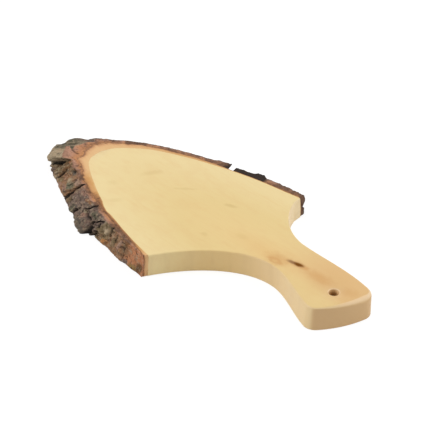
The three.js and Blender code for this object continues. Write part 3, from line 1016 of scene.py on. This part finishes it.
def clouds(tree, vector, size, turn=0.0, detail=3.0, roughness=0.55, twist=0.0):
    stretch = tree.nodes.new("ShaderNodeMapping")
    stretch.inputs["Scale"].default_value = [1 / length for length in size]
    stretch.inputs["Rotation"].default_value = (0.0, 0.0, turn)
    tree.links.new(vector, stretch.inputs["Vector"])
    node = tree.nodes.new("ShaderNodeTexNoise")
    settings = {"Scale": 1.0, "Detail": detail, "Roughness": roughness, "Distortion": twist}
    for name, number in settings.items():
        node.inputs[name].default_value = number
    tree.links.new(stretch.outputs["Vector"], node.inputs["Vector"])
    return node.outputs["Fac"]


def split_axes(tree, vector):
    node = tree.nodes.new("ShaderNodeSeparateXYZ")
    tree.links.new(vector, node.inputs[0])
    return node.outputs


def remembered(tree, name, output="Fac"):
    node = tree.nodes.new("ShaderNodeAttribute")
    node.attribute_name = name
    return node.outputs[output]


def own_place(tree):
    return tree.nodes.new("ShaderNodeTexCoord").outputs["Object"]


def coat(tree, shader, base, texture, roughness, strength, distance):
    tree.links.new(base, shader.inputs["Base Color"])
    tree.links.new(rescale(tree, texture, 0.3, 0.7, *roughness), shader.inputs["Roughness"])
    bump = tree.nodes.new("ShaderNodeBump")
    bump.inputs["Strength"].default_value = strength
    bump.inputs["Distance"].default_value = distance
    tree.links.new(texture, bump.inputs["Height"])
    tree.links.new(bump.outputs["Normal"], shader.inputs["Normal"])


print("helpers for colours ready")

# %% [markdown]
# ## The wood finish
#
# The wood is pale and close-grained, with rings too faint to count. It is golden at the pith, cream towards
# the bark, and turns a warm tan along the handle. The tree's own rings give the base: the same rounded oval
# as the live edge, worked out in nodes, is 0 at the pith and 1 at the bark. Soft clouds and faint streaks
# keep it from looking printed.

# %% Paint the rings of the wood
Grain = namedtuple("Grain", "tree spot axes streaks handle by_hand")

WOOD_AT_PITH = paint(231, 194, 130)
WOOD_GOLDEN = paint(233, 204, 141)
WOOD_CREAM = paint(231, 204, 141)
WOOD_PALE = paint(237, 214, 157)
WOOD_TAN = paint(224, 183, 124)
PEACH = paint(238, 200, 146)


def oval_share(tree, spot):
    pith = place(*PITH, 0)
    centred = tree.nodes.new("ShaderNodeVectorMath")
    centred.operation = "SUBTRACT"
    tree.links.new(spot, centred.inputs[0])
    centred.inputs[1].default_value = (pith.x, pith.y, 0.0)
    level = tree.nodes.new("ShaderNodeVectorRotate")
    level.rotation_type = "Z_AXIS"
    level.inputs["Angle"].default_value = -SECTION_TURN
    tree.links.new(centred.outputs[0], level.inputs["Vector"])
    axes = split_axes(tree, level.outputs["Vector"])
    reach = sum_of(tree, "MULTIPLY_ADD", axes["Z"], -UNDERSIDE_REACH / THICKNESS)
    reach.node.inputs[2].default_value = (SECTION_REACH + UNDERSIDE_REACH) / 1000
    along = sum_of(tree, "DIVIDE", sum_of(tree, "ABSOLUTE", axes["X"]), reach)
    across = sum_of(tree, "DIVIDE", sum_of(tree, "ABSOLUTE", axes["Y"]), SECTION_HALF_WIDTH / 1000)
    powers = [sum_of(tree, "POWER", share, SECTION_ROUNDNESS) for share in (along, across)]
    share = sum_of(tree, "POWER", sum_of(tree, "ADD", *powers), 1 / SECTION_ROUNDNESS)
    return share, level.outputs["Vector"]


def past_hole(tree, axes, axis, start, stop, *ends):
    hole = {"X": HOLE_X, "Y": HOLE_Y}[axis]
    return rescale(tree, axes[axis], (hole + start) / 1000, (hole + stop) / 1000, *ends)


def paint_rings(tree):
    spot = own_place(tree)
    axes = split_axes(tree, spot)
    share, level = oval_share(tree, spot)
    soft = clouds(tree, level, (0.05, 0.03, 0.05), detail=2.0)
    mottle = clouds(tree, level, (0.016, 0.009, 0.012))
    streaks = clouds(tree, level, (0.028, 0.0024, 0.006), detail=4.0, roughness=0.65)
    swayed = sum_of(tree, "ADD", share, around_zero(tree, soft, 0.10))
    base = colour_ramp(tree, swayed, [
        (0.0, WOOD_AT_PITH), (0.22, WOOD_GOLDEN), (0.5, WOOD_CREAM), (0.92, WOOD_PALE), (1.0, WOOD_PALE),
    ])
    near_tip = past_hole(tree, axes, "X", -190, -235)
    by_bast = times(tree, near_tip, rescale(tree, swayed, 0.96, 1.0, 0.0, 0.15))
    base = mix_colours(tree, by_bast, base, PEACH)
    handle = past_hole(tree, axes, "X", -80, -15)
    by_hand = times(tree, handle, past_hole(tree, axes, "Y", -15, 2, 0.2, 1.0))
    base = mix_colours(tree, by_hand, base, WOOD_TAN)
    base = tinted(tree, base, mottle, (0.42, 0.7), 0.16, WOOD_TAN)
    base = tinted(tree, base, streaks, (0.5, 0.75), 0.13, WOOD_TAN)
    return base, Grain(tree, spot, axes, streaks, handle, by_hand)


print("wood ringed round the pith at", PITH)

# %% [markdown]
# What a sander leaves behind is placed one by one: a few grey flecks, and the dark knot at the waist with its
# swirl and its tail of brown. Each is an oval on the top face with a ragged border, laid over the ones before
# it.

# %% Stain the flecks and the knot
WOOD_GREY = paint(203, 171, 106)
KNOT_DARK = paint(116, 68, 14)
KNOT_TAIL = paint(208, 154, 88)
FLECKS = [
    (-214, -19, 12, 4.5, 66, 0.22), (-179, -11, 13, 2.2, 50, 0.25),
    (-137, 5, 7, 2.6, 30, 0.4), (-221.5, -54, 6, 4.5, 40, 0.15),
    (-199, -66, 8, 4, 60, 0.15), (-118, -35, 3.6, 3, 0, 0.2),
    (-98, -13, 8, 4, 20, 0.14),
]
BROWN_STAINS = [
    (-21, 2, 19, 7, 10, 0.1, 0.5), (8, 9, 9, 7, 20, 0.2, 0.3),
    (-45, -1, 12, 4.5, 18, 0.3, 0.4), (-58, -9, 13, 9, 15, 0.2, 0.5),
]


def oval_spot(tree, spot, x, y, half_length, half_width, degrees, half_depth=6.0):
    node = tree.nodes.new("ShaderNodeMapping")
    node.vector_type = "TEXTURE"
    node.inputs["Location"].default_value = place(x, y, THICKNESS)
    node.inputs["Rotation"].default_value = (0.0, 0.0, math.radians(degrees))
    node.inputs["Scale"].default_value = (half_length / 1000, half_width / 1000, half_depth / 1000)
    tree.links.new(spot, node.inputs["Vector"])
    length = tree.nodes.new("ShaderNodeVectorMath")
    length.operation = "LENGTH"
    tree.links.new(node.outputs["Vector"], length.inputs[0])
    return length.outputs["Value"]


def stain(tree, base, distance, ragged, edges, strength, colour):
    frayed = sum_of(tree, "ADD", distance, ragged)
    return tinted(tree, base, frayed, edges, strength, colour)


def stain_wood(base, grain):
    tree, spot = grain.tree, grain.spot
    ragged = around_zero(tree, clouds(tree, spot, (0.005, 0.004, 0.005), detail=4.0), 0.9)
    for *oval, strength in FLECKS:
        base = stain(tree, base, oval_spot(tree, spot, *oval), ragged, (1.1, 0.3), strength, WOOD_GREY)
    for *oval, core, strength in BROWN_STAINS:
        base = stain(tree, base, oval_spot(tree, spot, *oval), ragged, (1.2, core), strength, KNOT_TAIL)
    swirl = sum_of(tree, "ADD", oval_spot(tree, spot, -57.5, -11.5, 7.0, 4.2, 15), ragged)
    ring = sum_of(tree, "ABSOLUTE", sum_of(tree, "SUBTRACT", swirl, 0.6))
    base = tinted(tree, base, ring, (0.5, 0.05), 0.5, KNOT_TAIL)
    glow = oval_spot(tree, spot, -40.5, 0.0, 9.0, 3.6, 19)
    base = stain(tree, base, glow, ragged, (1.2, 0.4), 0.6, KNOT_TAIL)
    frayed = times(tree, ragged, 0.5)
    smear = oval_spot(tree, spot, -48.0, -2.0, 5.4, 2.3, 18)
    base = stain(tree, base, smear, frayed, (1.2, 0.3), 0.75, KNOT_DARK)
    knot = sum_of(tree, "ADD", oval_spot(tree, spot, -42.4, -0.2, 5.4, 2.7, 19), frayed)
    in_knot = rescale(tree, knot, 1.2, 0.35, 0.0, 0.97)
    return mix_colours(tree, in_knot, base, KNOT_DARK), in_knot


print("stains:", len(FLECKS), "grey flecks,", len(BROWN_STAINS), "brown clouds and a knot")

# %% [markdown]
# Which way a face looks tells the walls from the top. The walls carry faint upright saw marks and are warm or
# pale along the handle, and the back walls get painted light, as if lit from behind. The handle's rounded
# edges get a painted highlight, the end grain at the handle's end is darker, and the hole is dull inside,
# with painted shade that deepens down the bore and on its far wall.

# %% Finish the walls and the hole
WALL_WARM = paint(238, 190, 128)
WALL_PALE_AND_LIT = paint(236, 214, 176)
SAW_MARK = paint(202, 170, 124)
PAINTED_EDGE_HIGHLIGHT = paint(244, 214, 172)
END_GRAIN = paint(214, 176, 125)
# Dark brown for painted shade inside the hole
BORE_SHADE = paint(128, 84, 30)


def finish_walls(base, grain, facing):
    tree, axes = grain.tree, grain.axes
    upward = sum_of(tree, "ABSOLUTE", facing["Z"])
    wall = rescale(tree, upward, 0.97, 0.55)
    sweep = past_hole(tree, axes, "X", -120, -100, 0.0, 0.25)
    base = mix_colours(tree, times(tree, wall, sweep), base, WALL_WARM)
    # Walls on the back side get painted light, as if lit from behind; along the waist they are a little paler
    waist = past_hole(tree, axes, "X", -92, -55)
    lit_back_wall = past_hole(tree, axes, "Y", 16, 24, 0.0, 0.55)
    pale = sum_of(tree, "MAXIMUM", times(tree, waist, 0.35), lit_back_wall)
    base = mix_colours(tree, times(tree, wall, pale), base, WALL_PALE_AND_LIT)
    sawing = clouds(tree, grain.spot, (0.011, 0.011, 0.06), roughness=0.6)
    marks = times(tree, wall, rescale(tree, sawing, 0.45, 0.7, 0.0, 0.16))
    base = mix_colours(tree, marks, base, SAW_MARK)
    # Painted highlight along the handle's rounded top edges
    painted_shading = times(tree, rescale(tree, upward, 0.99, 0.9), rescale(tree, upward, 0.4, 0.7, 0.0, 0.6))
    base = mix_colours(tree, times(tree, grain.by_hand, painted_shading), base, PAINTED_EDGE_HIGHLIGHT)
    outward = times(tree, grain.handle, rescale(tree, facing["X"], 0.4, 0.75))
    at_end = times(tree, outward, rescale(tree, upward, 0.55, 0.2))
    return mix_colours(tree, at_end, base, END_GRAIN)


def paint_bore_shade(base, grain, facing):
    tree = grain.tree
    bore = oval_spot(tree, grain.spot, 0.0, 0.0, HOLE_RADIUS, HOLE_RADIUS, 0, half_depth=4000.0)
    # Painted shade in the hole: darker down the bore and on its far wall
    down = rescale(tree, grain.axes["Z"], (THICKNESS - 1) / 1000, (THICKNESS - 5) / 1000, 0.1, 0.7)
    darkened = times(tree, down, rescale(tree, facing["X"], -0.2, 0.6))
    bore_shading = times(tree, rescale(tree, bore, 1.08, 1.01), darkened)
    return mix_colours(tree, bore_shading, base, BORE_SHADE), bore_shading


def finish_wood():
    material, tree, shader = start_finish("sanded_wood")
    base, grain = paint_rings(tree)
    base, in_knot = stain_wood(base, grain)
    facing = split_axes(tree, tree.nodes.new("ShaderNodeNewGeometry").outputs["Normal"])
    base = finish_walls(base, grain, facing)
    base, bore_shading = paint_bore_shade(base, grain, facing)
    dull = sum_of(tree, "MAXIMUM", in_knot, bore_shading)
    tree.links.new(rescale(tree, dull, 0.0, 1.0, 0.5, 0.05), shader.inputs["Specular IOR Level"])
    coat(tree, shader, base, grain.streaks, (0.42, 0.56), 0.12, 0.0002)
    return material


wood.data.materials.append(finish_wood())
print("wood finish:", len(wood.data.materials[0].node_tree.nodes), "nodes")

# %% [markdown]
# ## The inner bark finish
#
# The bast is a pale peach at the tip, where the cut draws it out, and a toasted orange along the sides. It
# darkens to a torn brown edge under the bark. The share from wood to bark that each point remembers drives
# three colour ramps, from fresh to scorched, and the toast mixes them. Noise stretched along the band shifts
# them, which gives the thin layers that the bast is made of.

# %% Mix the inner bark finish


def finish_inner_bark():
    material, tree, shader = start_finish("orange_bast")
    spot = own_place(tree)
    share = remembered(tree, "across")
    layers = clouds(tree, spot, (0.012, 0.0022, 0.004), -0.6, detail=4.0, roughness=0.7)
    patches = clouds(tree, spot, (0.010, 0.010, 0.010))
    shifted = sum_of(tree, "ADD", share, around_zero(tree, layers, 0.5))
    shifted = sum_of(tree, "ADD", shifted, around_zero(tree, patches, 0.7))
    fresh = colour_ramp(tree, shifted, [
        (0.0, paint(229, 187, 133)), (0.5, paint(227, 181, 128)), (0.75, paint(216, 164, 116)),
        (0.92, paint(188, 136, 92)), (1.0, paint(150, 106, 74)),
    ])
    golden = colour_ramp(tree, shifted, [
        (0.0, paint(222, 178, 118)), (0.25, paint(210, 158, 94)), (0.7, paint(198, 142, 84)),
        (0.92, paint(160, 110, 66)), (1.0, paint(112, 74, 46)),
    ])
    darkened = colour_ramp(tree, shifted, [
        (0.0, paint(228, 188, 130)), (0.15, paint(184, 132, 80)), (0.45, paint(146, 96, 52)),
        (0.78, paint(130, 86, 52)), (1.0, paint(148, 100, 66)),
    ])
    toast = remembered(tree, "toast")
    base = mix_colours(tree, rescale(tree, toast, 0.0, 0.5), fresh, golden)
    base = mix_colours(tree, rescale(tree, toast, 0.5, 1.0), base, darkened)
    specks = clouds(tree, spot, (0.003, 0.003, 0.003), roughness=0.6)
    toasted = rescale(tree, toast, 0.3, 1.0)
    burnt = times(tree, toasted, rescale(tree, specks, 0.52, 0.68, 0.0, 0.8))
    burnt = times(tree, burnt, rescale(tree, shifted, 0.1, 0.4))
    base = mix_colours(tree, burnt, base, paint(84, 50, 26))
    coat(tree, shader, base, layers, (0.62, 0.82), 0.35, 0.0004)
    return material


inner_bark.data.materials.append(finish_inner_bark())
print("inner bark finish:", len(inner_bark.data.materials[0].node_tree.nodes), "nodes")

# %% [markdown]
# ## The bark finishes
#
# Bark has two faces. Its weathered outside is grey-brown and mauve, with painted shade that is black in the
# cracks, and crusts of grey green lichen on the high places. Its sawn top and foot show the fresh inside,
# pinkish brown and darker towards the rim. Both read what the points remember, so one of each serves all
# the plates.

# %% Mix the bark finishes
# Black for painted shade in cracks and hollows; the sawn finish also uses it for its darkest stretches
PAINTED_SHADE_BLACK = paint(24, 17, 11)
LICHEN = paint(172, 158, 132)


def finish_bark_outside():
    material, tree, shader = start_finish("weathered_bark")
    spot = own_place(tree)
    ridge = remembered(tree, "ridge")
    patches = clouds(tree, spot, (0.007, 0.007, 0.006), roughness=0.6, twist=0.4)
    specks = clouds(tree, spot, (0.0028, 0.0028, 0.0028), roughness=0.6)
    grit = clouds(tree, spot, (0.0016, 0.0016, 0.0016), detail=4.0, roughness=0.7)
    base = remembered(tree, "tint", "Color")
    base = tinted(tree, base, patches, (0.52, 0.68), 0.35, paint(170, 130, 108))
    base = tinted(tree, base, patches, (0.48, 0.32), 0.45, paint(98, 91, 70))
    # Pale specks: painted highlights on small bumps of the bark
    base = tinted(tree, base, specks, (0.5, 0.68), 0.55, paint(186, 162, 134))
    base = tinted(tree, base, grit, (0.42, 0.68), 0.4, paint(62, 46, 36))
    # Dark pits: painted shade in small holes of the bark
    pits = clouds(tree, spot, (0.0034, 0.0034, 0.0026), detail=2.0, twist=0.8)
    base = tinted(tree, base, pits, (0.57, 0.71), 0.8, paint(40, 29, 22))
    crust = clouds(tree, spot, (0.004, 0.004, 0.0035), detail=5.0, roughness=0.7)
    on_high = times(tree, rescale(tree, ridge, 0.5, 0.95), rescale(tree, crust, 0.5, 0.6))
    base = mix_colours(tree, times(tree, on_high, remembered(tree, "crust")), base, LICHEN)
    # Painted shade: black in the cracks and darker in the hollows, where the ridge is low
    base = tinted(tree, base, ridge, (0.8, 0.15), 0.97, PAINTED_SHADE_BLACK)
    shader.inputs["Specular IOR Level"].default_value = 0.25
    coat(tree, shader, base, grit, (0.8, 0.98), 0.8, 0.0008)
    return material


def finish_bark_sawn():
    material, tree, shader = start_finish("sawn_bark")
    spot = own_place(tree)
    share = remembered(tree, "across")
    patches = clouds(tree, spot, (0.006, 0.006, 0.006), detail=4.0, roughness=0.65)
    specks = clouds(tree, spot, (0.0022, 0.0022, 0.0022), roughness=0.65)
    shifted = sum_of(tree, "ADD", share, around_zero(tree, patches, 0.9))
    base = colour_ramp(tree, shifted, [
        (0.0, paint(196, 138, 92)), (0.3, paint(188, 132, 94)), (0.65, paint(186, 140, 116)),
        (0.95, paint(160, 120, 98)), (1.0, paint(120, 92, 74)),
    ])
    shade = sum_of(tree, "ADD", remembered(tree, "shade"), around_zero(tree, patches, 1.8))
    base = tinted(tree, base, shade, (0.1, 0.8), 0.9, paint(96, 71, 54))
    base = tinted(tree, base, shade, (1.0, 1.6), 0.95, PAINTED_SHADE_BLACK)
    base = tinted(tree, base, specks, (0.5, 0.7), 0.55, paint(88, 60, 44))
    # Painted shade: black where the ridge is low, as in the split across the sawn top
    base = mix_colours(tree, rescale(tree, remembered(tree, "ridge"), 0.9, 0.3), base, PAINTED_SHADE_BLACK)
    shader.inputs["Specular IOR Level"].default_value = 0.3
    coat(tree, shader, base, specks, (0.75, 0.95), 0.6, 0.0008)
    return material


weathered_bark = finish_bark_outside()
sawn_bark = finish_bark_sawn()
for made in bark.values():
    made.data.materials.append(weathered_bark)
    made.data.materials.append(sawn_bark)
print("bark finishes on", len(bark), "plates")

# %% [markdown]
# ## The studio
#
# The board lies on white paper under soft light. The paper stays white to the camera by showing it a plain
# white, mixed with enough of its lit surface to keep the board's shadow. Two broad lamps, one from the front
# left and one from behind, give the walls their shading, and the air fills in the rest.

# %% Lay the paper and hang the lamps
PAPER_GLOW = 0.8
PAPER_HALF = 6.0
PAPER_LIT = (0.8, 0.8, 0.8, 1.0)
PAPER_SHADOW = (0.3, 0.3, 0.3, 1.0)


def seen_directly(tree):
    path = tree.nodes.new("ShaderNodeLightPath")
    seen = sum_of(tree, "MAXIMUM", path.outputs["Is Camera Ray"], path.outputs["Is Glossy Ray"])
    return sum_of(tree, "MAXIMUM", seen, path.outputs["Is Transmission Ray"])


def lay_paper():
    mesh = bmesh.new()
    bmesh.ops.create_grid(mesh, x_segments=2, y_segments=2, size=PAPER_HALF)
    paper = make_object("studio_paper", mesh)
    material = bpy.data.materials.new("white_paper")
    material.use_nodes = True
    tree = material.node_tree
    tree.nodes.remove(tree.nodes["Principled BSDF"])
    paper_to_lamps = tree.nodes.new("ShaderNodeBsdfDiffuse")
    paper_to_lamps.inputs["Color"].default_value = PAPER_LIT
    shadow = tree.nodes.new("ShaderNodeBsdfDiffuse")
    shadow.inputs["Color"].default_value = PAPER_SHADOW
    glow = tree.nodes.new("ShaderNodeEmission")
    glow.inputs["Strength"].default_value = PAPER_GLOW
    paper_to_camera = tree.nodes.new("ShaderNodeAddShader")
    tree.links.new(shadow.outputs[0], paper_to_camera.inputs[0])
    tree.links.new(glow.outputs[0], paper_to_camera.inputs[1])
    mixed = tree.nodes.new("ShaderNodeMixShader")
    tree.links.new(seen_directly(tree), mixed.inputs[0])
    tree.links.new(paper_to_lamps.outputs[0], mixed.inputs[1])
    tree.links.new(paper_to_camera.outputs[0], mixed.inputs[2])
    tree.links.new(mixed.outputs[0], tree.nodes["Material Output"].inputs["Surface"])
    paper.data.materials.append(material)
    return paper


def fill_air():
    world = bpy.data.worlds.new("studio_air")
    bpy.context.scene.world = world
    world.use_nodes = True
    tree = world.node_tree
    level = rescale(tree, seen_directly(tree), 0.0, 1.0, 0.5, 1.0)
    tree.nodes["Background"].inputs["Color"].default_value = (1.0, 1.0, 1.0, 1.0)
    tree.links.new(level, tree.nodes["Background"].inputs["Strength"])


def hang_lamp(name, direction, distance, size, watts):
    data = bpy.data.lights.new(name, "AREA")
    data.size = size
    data.energy = watts
    lamp = bpy.data.objects.new(name, data)
    lamp.location = Vector(direction).normalized() * distance
    lamp.rotation_mode = "QUATERNION"
    lamp.rotation_quaternion = (-lamp.location).to_track_quat("-Z", "Y")
    bpy.context.scene.collection.objects.link(lamp)
    return lamp


lay_paper()
fill_air()
hang_lamp("front_lamp", (-0.587, -0.809, 0.84), 2.0, 1.2, 18)
hang_lamp("back_lamp", (0.5, 0.86, 0.7), 2.0, 1.2, 17)
bpy.context.scene.view_settings.view_transform = "Standard"
print("paper laid, two lamps hung")

# %% [markdown]
# ## The camera
#
# The picture was taken from beside the handle's end, a third of the way up to straight above. A long lens
# keeps the board's sides nearly parallel. The camera stands on a line from the place it looks at.

# %% Set up the camera
LOOK_AT = place(-134.2, -13.0, THICKNESS)
CAMERA_ROUND = math.radians(54)
CAMERA_UP = math.radians(35)
CAMERA_AWAY = 1.36
FOCAL_PIXELS = 1700
PICTURE_PIXELS = 430

camera_data = bpy.data.cameras.new("camera")
camera = bpy.data.objects.new("camera", camera_data)
towards = Vector((
    math.sin(CAMERA_ROUND) * math.cos(CAMERA_UP),
    -math.cos(CAMERA_ROUND) * math.cos(CAMERA_UP),
    math.sin(CAMERA_UP),
))
camera.location = LOOK_AT + towards * CAMERA_AWAY
camera.rotation_mode = "QUATERNION"
camera.rotation_quaternion = (-towards).to_track_quat("-Z", "Y")
camera_data.sensor_width = 36.0
camera_data.lens = camera_data.sensor_width * FOCAL_PIXELS / PICTURE_PIXELS
bpy.context.scene.collection.objects.link(camera)
bpy.context.scene.camera = camera
print("camera at", tuple(round(v, 4) for v in camera.location), "lens", round(camera_data.lens, 2))
